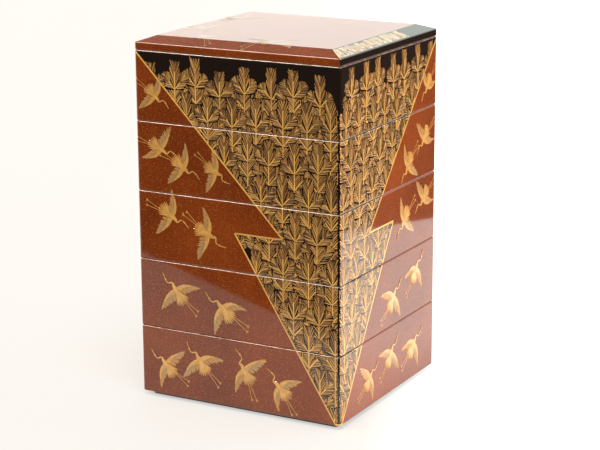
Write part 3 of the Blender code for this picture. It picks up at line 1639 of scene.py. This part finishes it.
@dataclass(frozen=True)
class Crane:
    """A flying crane, drawn with its flight along x and its back to the left of it.

    Args:
        place: The middle of its body, in millimetres on the wall.
        heading: Its flight, in degrees above the wall's x axis.
        flight: How it holds its wings.
        mirrored: True if its back is to the right of its flight.
        scale: Its size.
        seed: Seed of its small irregularities.
    """

    place: tuple[float, float]
    heading: float
    flight: Flight
    mirrored: bool
    scale: float
    seed: int

    def draw(self) -> tuple[Strokes, Strokes]:
        """Draw the crane.

        Returns:
            The strokes in bright gold, and those of the flight feathers in greyer gold.
        """
        chance = random.Random(self.seed)
        under, bright = Brush(0.03), Brush(0.13)
        self.legs(bright, chance)
        for hand, sweep in zip((1, -1), self.flight.value):
            self.wing(under, bright, hand, sweep, chance)
        self.tail(bright, chance)
        self.body(bright)
        self.neck(bright, chance)
        return self.placed(bright), self.placed(under)

    def wing(
        self, under: Brush, bright: Brush, hand: int, sweep: float, chance: random.Random
    ) -> None:
        """Draw a wing: grey flight feathers with bright shafts, and a bright front edge.

        Args:
            under: The brush for the flight feathers.
            bright: The brush for the bright parts.
            hand: 1 for the left wing and -1 for the right one.
            sweep: How far it is swept back, in degrees.
            chance: Source of small irregularities.
        """
        fore, out = 78.0 + 0.45 * sweep, 99.0 + sweep
        shoulder = np.array([3.2, 1.4 * hand])
        wrist = shoulder + 9.5 * toward(fore * hand)
        tip = wrist + 8.5 * toward(out * hand)
        knuckle = wrist + 2.6 * toward((fore + out) / 2 * hand)
        edge = bend([shoulder, shoulder + 6.5 * toward((fore - 8) * hand), knuckle, tip], 18)
        feathers = 13
        for index in range(feathers):
            share = index / (feathers - 1)
            angle = (171.0 + (out + 6 - 171.0) * share**1.15 + chance.uniform(-2, 2)) * hand
            reach = (10.5 + 4.0 * share - 6.0 * max(0.0, share - 0.7)) * chance.uniform(0.94, 1.06)
            root = edge[round(share * 17)]
            under.leaf(root, angle, reach, 2.4)
            shaft = root + 0.42 * reach * toward(angle)
            bright.leaf(shaft, angle, 0.6 * reach, 0.42)
        coverts = 12
        for index in range(coverts):
            share = index / (coverts - 1)
            angle = (166.0 + (out + 4 - 166.0) * share + chance.uniform(-3, 3)) * hand
            bright.leaf(edge[round(share * 17)], angle, 5.0 - 2.2 * share, 2.0)
        bright.trail(edge, (2.3, 1.0), 2.4)

    def tail(self, bright: Brush, chance: random.Random) -> None:
        """Draw the spread tail as pointed plumes, long ones under short ones."""
        for count, length, width, spread in ((9, 15.5, 1.5, 66.0), (7, 10.0, 1.9, 50.0)):
            for index in range(count):
                share = index / (count - 1) - 0.5
                reach = length * (1 - 0.5 * share * share) * chance.uniform(0.95, 1.05)
                root = np.array([-0.8, 2.6 * share])
                bright.leaf(root, 180.0 - spread * share, reach, width)

    def body(self, bright: Brush) -> None:
        """Draw the body as overlapping leaves."""
        for shift, side, length, width in (
            (-8.0, 0.0, 14.5, 4.4),
            (-4.0, 0.7, 12.0, 4.0),
            (-4.0, -0.7, 12.0, 4.0),
            (-1.0, 0.2, 11.0, 3.4),
        ):
            bright.leaf(np.array([shift, side]), 1.0, length, width)

    def neck(self, bright: Brush, chance: random.Random) -> None:
        """Draw the curved neck, the head and the long beak."""
        lift = chance.uniform(-0.8, 1.2)
        curve = [(6.0, 0.0), (16.0, -4.2 + lift), (8.5, 6.4 + lift), (18.0, 4.8 + lift)]
        points = bend(curve, 22)
        bright.trail(points, (2.2, 0.95), 2.2)
        head = points[-1]
        bright.leaf(head - np.array([1.4, -0.1]), -4.0, 3.6, 1.7)
        bright.leaf(head + np.array([1.0, 0.0]), -12.0, 7.4, 0.7)

    def legs(self, bright: Brush, chance: random.Random) -> None:
        """Draw the two trailing legs with their toes."""
        for index, (drop, length) in enumerate(((-3.2, 25.0), (-7.4, 22.0))):
            sway = chance.uniform(-0.8, 0.8)
            knee = (-13.0, -1.2 + drop * 0.35 + sway)
            ankle = (-6.0 - length, -1.5 + drop * 1.1)
            points = bend([(-4.0, -1.2), knee, ankle], 14)
            bright.trail(points, (0.75, 0.55), 1.6)
            for spread in (-30.0, 4.0, 34.0):
                bright.leaf(points[-1], 184.0 + spread + 8 * index, 3.2, 0.55)

    def placed(self, brush: Brush) -> Strokes:
        """Put drawn strokes where the crane flies."""
        turn = math.radians(self.heading)
        rotation = np.array([[math.cos(turn), -math.sin(turn)], [math.sin(turn), math.cos(turn)]])
        flip = np.array([1.0, -1.0 if self.mirrored else 1.0]) * self.scale
        strokes = Strokes.of(brush.pairs, brush.sizes)
        place = np.array(self.place)
        starts = (strokes.starts * flip) @ rotation.T + place
        ends = (strokes.ends * flip) @ rotation.T + place
        return Strokes(starts, ends, strokes.sizes * np.array([self.scale, 1.0]))


@dataclass(frozen=True)
class CraneFlock:
    """The cranes of one wall.

    Args:
        side: The wall.
        cranes: The cranes on it.
    """

    side: Side
    cranes: tuple[Crane, ...]

    @classmethod
    def over(cls, side: Side) -> CraneFlock:
        """Let a flock fly over the open ground of a wall: down beside the upper field, then up."""
        if side.is_wide:
            places = (
                (22.0, 315.0, -46.0, Flight.BANKING, False, 0.78),
                (27.0, 262.0, -30.0, Flight.RISING, False, 0.86),
                (53.0, 246.0, -38.0, Flight.BANKING, False, 0.86),
                (90.0, 245.0, -24.0, Flight.RISING, True, 0.80),
                (38.0, 195.0, -34.0, Flight.BANKING, False, 0.92),
                (80.0, 181.0, -22.0, Flight.RISING, True, 0.96),
                (44.0, 116.0, 126.0, Flight.SPREAD, False, 0.95),
                (98.0, 105.0, 136.0, Flight.GLIDING, False, 1.0),
                (30.0, 36.0, 134.0, Flight.BANKING, False, 0.92),
                (70.0, 46.0, 122.0, Flight.SPREAD, False, 0.95),
                (122.0, 44.0, 124.0, Flight.RISING, True, 0.95),
                (162.0, 33.0, 136.0, Flight.GLIDING, True, 0.92),
            )
        else:
            places = (
                (194.0, 311.0, 236.0, Flight.GLIDING, True, 0.78),
                (188.0, 257.0, 226.0, Flight.RISING, True, 0.86),
                (150.0, 236.0, 232.0, Flight.BANKING, True, 0.90),
                (188.0, 194.0, 222.0, Flight.RISING, True, 0.90),
                (142.0, 181.0, 228.0, Flight.BANKING, True, 0.95),
                (116.0, 104.0, 50.0, Flight.SPREAD, True, 1.0),
                (170.0, 120.0, 58.0, Flight.GLIDING, True, 0.95),
                (64.0, 34.0, 46.0, Flight.BANKING, True, 0.90),
                (112.0, 45.0, 56.0, Flight.SPREAD, True, 0.95),
                (166.0, 40.0, 48.0, Flight.GLIDING, True, 1.0),
            )
        cranes = tuple(
            Crane((x, y), heading, flight, mirrored, scale, 31 * side.value + index)
            for index, (x, y, heading, flight, mirrored, scale) in enumerate(places)
        )
        return cls(side, cranes)

    @classmethod
    def on_lid(cls, side: Side) -> CraneFlock:
        """Let two cranes rise over the lid's panel, with their legs over the brown slope."""
        turn = 0.0 if side.is_wide else -12.0
        return cls(
            side,
            (
                Crane((62.0, 398.0), 112.0 + turn, Flight.RISING, False, 1.0, 5 + side.value),
                Crane((141.0, 399.0), 66.0 + turn, Flight.SPREAD, True, 1.1, 9 + side.value),
            ),
        )

    def draw(self) -> tuple[Strokes, Strokes]:
        """Draw all of them.

        Returns:
            The strokes in bright gold and those in greyer gold, on the drawing sheet.
        """
        drawn = [crane.draw() for crane in self.cranes]
        bright = Strokes.together([pair[0] for pair in drawn])
        under = Strokes.together([pair[1] for pair in drawn])
        return bright.on(self.side), under.on(self.side)


# The room, and its brightness from straight below to straight above

ROOM_STOPS = (
    (0.0, (0.08, 0.045, 0.03, 1.0)),
    (0.49, (0.08, 0.045, 0.03, 1.0)),
    (0.51, (0.96, 0.92, 0.86, 1.0)),
    (0.59, (0.96, 0.92, 0.86, 1.0)),
    (0.63, (1.0, 1.28, 1.16, 1.0)),
    (0.75, (1.15, 1.08, 0.98, 1.0)),
    (0.80, (0.35, 0.335, 0.31, 1.0)),
    (0.87, (0.11, 0.105, 0.10, 1.0)),
    (1.0, (0.15, 0.145, 0.14, 1.0)),
)


@dataclass
class Studio:
    """A pale table under soft light, with the photograph's camera."""

    # The table's colour grows lighter towards the right, and further right it holds a painted pool
    # of light
    floor_left: Colour = (0.474, 0.452, 0.437, 1.0)
    floor_right: Colour = (0.495, 0.490, 0.478, 1.0)
    floor_glow: Colour = (0.93, 0.925, 0.91, 1.0)
    table_light: float = 3.75
    shadow_light: float = 1.25
    sheet_right: float = 0.67
    azimuth: float = 28.6296
    elevation: float = 14.5804
    roll: float = 0.2507
    distance: float = 1.8840
    focal_pixels: float = 1832.0
    picture_width: float = 600.0
    aim: tuple[float, float, float] = (0.0, 0.0, 0.1816)
    aim_right: float = 0.01040
    aim_up: float = -0.01215
    sensor_width: float = 36.0
    clip: tuple[float, float] = (0.05, 60.0)
    sky_spread: float = 40.0
    sky_tilt: float = 28.0
    room_strength: float = 1.6

    def axes(self) -> tuple[Vector, Vector, Vector]:
        """The camera's right, up and backward directions, before its roll."""
        turn = math.radians(self.azimuth)
        rise = math.radians(self.elevation)
        right = Vector((math.cos(turn), math.sin(turn), 0.0))
        back = Vector(
            (math.sin(turn) * math.cos(rise), -math.cos(turn) * math.cos(rise), math.sin(rise))
        )
        return right, back.cross(right), back

    def place_camera(self) -> None:
        """Put the camera where the photograph was taken from."""
        right, up, back = self.axes()
        target = Vector(self.aim) + right * self.aim_right + up * self.aim_up
        roll = math.radians(self.roll)
        turned_right = right * math.cos(roll) - up * math.sin(roll)
        turned_up = up * math.cos(roll) + right * math.sin(roll)
        lens = bpy.data.cameras.new("camera")
        lens.sensor_width = self.sensor_width
        lens.lens = self.focal_pixels * lens.sensor_width / self.picture_width
        lens.clip_start, lens.clip_end = self.clip
        camera = bpy.data.objects.new("camera", lens)
        rotation = Matrix((turned_right, turned_up, back)).transposed().to_4x4()
        camera.matrix_world = Matrix.Translation(target + back * self.distance) @ rotation
        bpy.context.scene.collection.objects.link(camera)
        bpy.context.scene.camera = camera

    def lay_floor(self) -> None:
        """Lay the pale sheet under the box, and the wider table just below it.

        Polished lacquer mirrors the sheet as far as its edge. Past the edge it mirrors the room.
        """
        material, sketch, shader = new_material("pale_table")
        place = sketch.add("ShaderNodeTexCoord").outputs["Object"]
        mottle = sketch.add("ShaderNodeTexNoise", Vector=place, Scale=3.0, Detail=4.0)
        rough = sketch.ranged(mottle.outputs["Fac"], To_Min=0.75, To_Max=0.95)
        sketch.feed(shader.inputs["Roughness"], rough)
        right, _, _ = self.axes()
        along = sketch.add("ShaderNodeVectorMath", {"operation": "DOT_PRODUCT"})
        sketch.feed(along.inputs[0], place)
        sketch.feed(along.inputs[1], tuple(right))
        # The table's colour grows lighter towards the right; past that, a painted pool of light
        # stands in for the right soft box, which is kept off the table
        share = sketch.ranged(along.outputs["Value"], From_Min=-0.3, From_Max=0.4)
        light_pool = sketch.ranged(along.outputs["Value"], From_Min=0.07, From_Max=0.26)
        tone = mixed_colour(sketch, share, self.floor_left, self.floor_right)
        tone = mixed_colour(sketch, light_pool, tone, self.floor_glow)
        sketch.feed(shader.inputs["Base Color"], tone)
        shader.inputs["Specular IOR Level"].default_value = 0.1
        forward = Vector((-right.y, right.x, 0.0))
        sheet = self.slab("floor_sheet", right, forward, (-3.0, self.sheet_right), (-0.3, 6.0), 0.0)
        table = self.slab("floor", right, forward, (-9.0, 9.0), (-9.0, 12.0), -0.0006)
        table.visible_glossy = False
        for surface in (sheet, table):
            surface.data.materials.append(material)

    def slab(
        self,
        name: str,
        right: Vector,
        forward: Vector,
        across: tuple[float, float],
        away: tuple[float, float],
        height: float,
    ) -> bpy.types.Object:
        """Make one flat rectangle.

        Args:
            name: Its name.
            right: Its first direction.
            forward: Its second direction.
            across: Its ends along the first.
            away: Its ends along the second.
            height: Its height.

        Returns:
            The object.
        """
        shape = bmesh.new()
        corners = [
            (across[0], away[0]),
            (across[1], away[0]),
            (across[1], away[1]),
            (across[0], away[1]),
        ]
        verts = []
        for side_step, away_step in corners:
            point = right * side_step + forward * away_step
            verts.append(shape.verts.new((point.x, point.y, height)))
        shape.faces.new(verts)
        return piece_from(name, shape, [])

    def hang_lights(self) -> None:
        """Hang two soft boxes for the box alone, and two even lights for the table alone.

        The even lights come from over the camera, and only the weaker one casts the box's shadow.
        """
        boxes = (
            self.soft_box(
                "right_box",
                position=(2.1, 0.7, 1.3),
                target=(0.0, 0.0, 0.25),
                size=1.8,
                power=106.0,
            ),
            self.soft_box(
                "key_box",
                position=(-1.0, -0.55, 2.1),
                target=(0.0, 0.0, 0.3),
                size=0.8,
                power=45.0,
            ),
        )
        for light in boxes:
            self.share_with_table(light, "EXCLUDE")
        for name, power in (("table_light", self.table_light), ("shadow_light", self.shadow_light)):
            data = bpy.data.lights.new(name, "SUN")
            data.energy = power
            data.angle = math.radians(self.sky_spread)
            sky = bpy.data.objects.new(name, data)
            sky.rotation_euler = (math.radians(self.sky_tilt), 0.0, math.radians(self.azimuth))
            bpy.context.scene.collection.objects.link(sky)
            self.share_with_table(sky, "INCLUDE")
        even_light = bpy.data.objects["table_light"].light_linking
        even_light.blocker_collection = even_light.receiver_collection

    def share_with_table(self, light: bpy.types.Object, state: str) -> None:
        """Link a light with the table, so that it lights only that, or all but that.

        Args:
            light: The light.
            state: INCLUDE to light only the table, EXCLUDE to light all the rest.
        """
        table = bpy.data.collections.new(f"{light.name}_table")
        light.light_linking.receiver_collection = table
        for name in ("floor", "floor_sheet"):
            table.objects.link(bpy.data.objects[name])
        for entry in table.collection_objects:
            entry.light_linking.link_state = state

    def soft_box(
        self,
        name: str,
        position: Sequence[float],
        target: Sequence[float],
        size: float,
        power: float,
    ) -> bpy.types.Object:
        """Hang one square soft box.

        Args:
            name: Its name.
            position: Where it hangs.
            target: What it faces.
            size: Length of its sides.
            power: Its power in watts.

        Returns:
            The light.
        """
        data = bpy.data.lights.new(name, "AREA")
        data.shape = "SQUARE"
        data.size = size
        data.energy = power
        data.color = (1.0, 0.965, 0.92)
        light = bpy.data.objects.new(name, data)
        direction = Vector(target) - Vector(position)
        light.location = position
        light.rotation_euler = direction.to_track_quat("-Z", "Y").to_euler()
        light.visible_camera = False
        bpy.context.scene.collection.objects.link(light)
        return light

    def light_world(self) -> None:
        """Surround the table with a pale room that is brightest low down, and dim under it."""
        world = bpy.data.worlds.new("studio_room")
        world.use_nodes = True
        sketch = NodeSketch(world.node_tree)
        background = world.node_tree.nodes["Background"]
        place = sketch.add("ShaderNodeTexCoord").outputs["Generated"]
        split = sketch.add("ShaderNodeSeparateXYZ", Vector=place)
        level = sketch.ranged(split.outputs["Z"], From_Min=-1.0, From_Max=1.0)
        ramp = sketch.add("ShaderNodeValToRGB", Fac=level)
        elements = ramp.color_ramp.elements
        while len(elements) < len(ROOM_STOPS):
            elements.new(0.5)
        for element, (position, colour) in zip(elements, ROOM_STOPS):
            element.position = position
            element.color = colour
        sketch.feed(background.inputs["Color"], ramp.outputs["Color"])
        background.inputs["Strength"].default_value = self.room_strength
        bpy.context.scene.world = world

    def build(self) -> None:
        """Set the whole studio up."""
        bpy.context.scene.view_settings.view_transform = "Standard"
        self.place_camera()
        self.lay_floor()
        self.hang_lights()
        self.light_world()


# The box


@dataclass(frozen=True)
class BoxSizes:
    """Sizes of the shells in millimetres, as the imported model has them."""

    width: float = 228.0
    depth: float = 216.0
    tier_height: float = 70.5
    tier_pitch: float = 70.8
    tiers: int = 5
    foot_height: float = 4.6
    foot_inset: float = 7.3
    foot_inside: float = 13.3
    wall: float = 6.5
    floor: float = 5.0
    edge: float = 1.2
    corner: float = 2.5
    mouth_corner: float = 3.0
    band: float = 7.4
    band_edge: float = 1.3
    slope_run: float = 16.0
    slope_rise: float = 6.0
    board: float = 5.0
    section_end: float = 60.0
    foot_crease: float = 0.5
    crest_edge: float = 2.5
    crest_corner: float = 1.6

    @property
    def outline(self) -> Outline:
        """The plan of the box."""
        return Outline(self.width, self.depth, self.corner)

    def tier_base(self, number: int) -> float:
        """Height of a tier's wall above the ground; the first tier is the top one."""
        return self.foot_height + (self.tiers - number) * self.tier_pitch

    def foot_knees(self, base: float, ceiling: float) -> list[Knee]:
        """The section of a foot ring, from the middle of the underside to the wall.

        Args:
            base: Height of the wall above the ring.
            ceiling: Height of the underside inside the ring.

        Returns:
            Its corners.
        """
        low = base - self.foot_height
        inner_turn = self.foot_inside + self.mouth_corner
        outer_turn = self.foot_inset + self.mouth_corner
        return [
            Knee(self.section_end, ceiling, 0.0, inner_turn),
            Knee(self.foot_inside, ceiling, self.foot_crease, inner_turn),
            Knee(self.foot_inside, low, self.edge, inner_turn),
            Knee(self.foot_inset, low, self.edge, outer_turn),
            Knee(self.foot_inset, base, self.foot_crease, outer_turn),
        ]

    def tier(self, number: int, fields: dict[Side, PineField]) -> Tier:
        """Lay out a tier.

        Args:
            number: Its number from the top.
            fields: The pine field of each wall.

        Returns:
            The tier, not built yet.
        """
        base = self.tier_base(number)
        rim = base + self.tier_height
        mouth_turn = self.wall + self.mouth_corner
        knees = self.foot_knees(base, base) + [
            Knee(0.0, base, self.edge, self.corner),
            Knee(0.0, rim, self.edge, self.corner),
            Knee(self.wall, rim, self.edge, mouth_turn),
            Knee(self.wall, base + self.floor, self.edge, mouth_turn),
            Knee(self.section_end, base + self.floor, 0.0, mouth_turn),
        ]
        shell = Tier(f"tier_{number}", self.outline, knees, (5, 6), fields=fields)
        shell.has_worn_rim = number == 1
        return shell

    def lid(self) -> Lid:
        """Lay out the lid, not built yet."""
        base = self.tier_base(0)
        top = base + self.band + self.slope_rise
        crest_turn = self.slope_run + self.crest_corner
        knees = self.foot_knees(base, top - self.board) + [
            Knee(0.0, base, self.edge, self.corner),
            Knee(0.0, base + self.band, self.band_edge, self.corner),
            Knee(self.slope_run, top, self.crest_edge, crest_turn),
            Knee(self.section_end, top, 0.0, crest_turn),
        ]
        return Lid("lid", self.outline, knees, (5, 7))


@dataclass
class Gilder:
    """Lays the gold on the tiers and the lid."""

    press: StrokePress = field(default_factory=StrokePress)

    def __post_init__(self) -> None:
        """Mix the golds."""
        self.stem = STEM_GOLD.material()
        self.bright = BRIGHT_GOLD.material()
        self.leaf = LEAF_GOLD.material()
        self.needle = NEEDLE_GOLD.material()
        self.red = RED_GOLD.material()
        self.shaded = SHADED_GOLD.material()
        self.wing = WING_GOLD.material()
        # Gold paled by painted sheen, for the pines on the lid's slope
        self.pale = LID_GOLD_WITH_SHEEN.material()
        self.faded = FADED_GOLD.material()

    def drawing(self, label: str, groups: list[Strokes]) -> tuple:
        """Say how a kind of strokes is pressed.

        Args:
            label: The kind.
            groups: The strokes.

        Returns:
            The kind, its strokes, their form, their width and height, and their golds.
        """
        ways = {
            "pine_needles": (
                StrokeShape.RIDGE,
                (0.62, 0.045),
                (self.needle, self.red, self.shaded),
            ),
            "pine_stems": (StrokeShape.BAR, (0.95, 0.14), (self.stem, self.stem, self.bright)),
            "gold_border": (StrokeShape.BAR, (1.5, 0.2), (self.stem, self.stem, self.bright)),
            "crane_wings": (StrokeShape.LEAF, (1.0, 1.0), (self.wing, self.wing, self.red)),
            "cranes": (StrokeShape.LEAF, (1.0, 1.0), (self.bright, self.leaf, self.leaf)),
            "faded_cranes": (StrokeShape.LEAF, (1.0, 0.2), (self.faded, self.faded, self.faded)),
            "lid_cranes": (StrokeShape.LEAF, (1.0, 1.0), (self.wing, self.leaf, self.wing)),
            "lid_needles": (StrokeShape.RIDGE, (0.62, 0.05), (self.pale, self.pale, self.needle)),
            "lid_stems": (StrokeShape.BAR, (0.8, 0.1), (self.pale, self.pale, self.pale)),
            "hip_lines": (StrokeShape.BAR, (1.2, 0.2), (self.stem, self.stem, self.stem)),
        }
        return (label, Strokes.together(groups), *ways[label])

    def lay(self, shell: Tier | Lid, drawings: Sequence[tuple]) -> list[bpy.types.Object]:
        """Press drawings on a shell.

        Args:
            shell: The shell.
            drawings: What is drawn, on the whole sheet.

        Returns:
            The pieces of gold.
        """
        skin = shell.skin()
        pieces = []
        for label, strokes, shape, size, finishes in drawings:
            kept = Strokes.together([strokes.between(low, high) for low, high in shell.bands()])
            if len(kept.starts):
                name = f"{shell.node}_{label}"
                pieces.append(self.press.press(name, kept, skin, shape, size, finishes))
        return pieces

    def gild_tiers(
        self, tiers: list[Tier], fields: dict[Side, PineField]
    ) -> list[bpy.types.Object]:
        """Lay the pines, their borders and the cranes on the tiers.

        Args:
            tiers: The tiers, from the top.
            fields: The pine field of each wall.

        Returns:
            The pieces of gold.
        """
        kinds = ("pine_needles", "pine_stems", "gold_border", "crane_wings", "cranes")
        groups: dict[str, list[Strokes]] = {kind: [] for kind in kinds}
        for side, pines in fields.items():
            if side.is_wide:
                grove = PineGrove(pines, 11 + side.value)
            else:
                grove = PineGrove(
                    pines, 11 + side.value, column=29.0, first_depth=(1.5, 5.0), corner_gap=0.3
                )
            bright, grey = CraneFlock.over(side).draw()
            groups["cranes"].append(bright)
            groups["crane_wings"].append(grey)
            for kind, strokes in (
                ("pine_needles", grove.needles()),
                ("pine_stems", grove.lines()),
                ("gold_border", Strokes.of(pines.border())),
            ):
                groups[kind].append(strokes.bendable(pines.length).on(side))
        drawings = [self.drawing(kind, strokes) for kind, strokes in groups.items()]
        return [piece for tier in tiers for piece in self.lay(tier, drawings)]

    def gild_lid(self, lid: Lid) -> list[bpy.types.Object]:
        """Lay pines on the lid's black margins, in a gold paled by painted sheen, and cranes on its
        panel and brown margins.

        Args:
            lid: The lid.

        Returns:
            The pieces of gold.
        """
        skin = lid.skin()
        foot, crest = (float(skin.rise[2 * ROUNDING_KNOTS + step]) for step in (-1, 0))
        rim = crest + 15.0
        kinds = ("lid_needles", "lid_stems", "hip_lines", "lid_cranes", "faded_cranes")
        groups: dict[str, list[Strokes]] = {kind: [] for kind in kinds}
        for side in Side:
            length = lid.outline.length(side)
            if side in (Side.RIGHT, Side.BACK):
                pines = LidField(
                    side, length, rim, bottom_depth=rim - foot, skin=skin, foot=foot, crest=crest
                )
                grove = PineGrove(
                    pines, 40 + side.value, column=21.0, row=15.0, corner_gap=0.0, needle_gap=1.0
                )
                groups["lid_needles"].append(grove.needles().on(side))
                groups["lid_stems"].append(grove.lines().on(side))
            else:
                for strokes in CraneFlock.on_lid(side).draw():
                    groups["lid_cranes"].append(strokes.between(foot - 9.0, crest))
                    groups["faded_cranes"].append(strokes.between(crest, float(skin.rise[-1])))
            if not side.is_wide:
                inset = float(skin.inset[2 * ROUNDING_KNOTS])
                hip = Strokes.of([(np.array([0.5, foot - 0.8]), np.array([inset, crest]))])
                groups["hip_lines"].append(hip.bendable(length).on(side))
        drawings = [self.drawing(kind, strokes) for kind, strokes in groups.items()]
        return self.lay(lid, drawings)


def main() -> None:
    """Build the studio and the box, and report each piece."""
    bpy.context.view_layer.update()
    Studio().build()
    sizes = BoxSizes()
    outline = sizes.outline
    fields = {side: PineField(side, outline.length(side)) for side in Side}
    finishes = ShellFinishes(
        FlakedLacquer().material(),
        BlackLacquer().material(),
        RIM_HIGHLIGHT.material(),
        WORN_RIM.material(),
    )
    tiers = [sizes.tier(number, fields) for number in range(1, sizes.tiers + 1)]
    lid = sizes.lid()
    pieces = [shell.build(finishes) for shell in [*tiers, lid]]
    gilder = Gilder()
    pieces += gilder.gild_tiers(tiers, fields)
    pieces += gilder.gild_lid(lid)
    for piece in pieces:
        LOG.info("%s: %d faces", piece.name, len(piece.data.polygons))


if __name__ == "__main__":
    main()
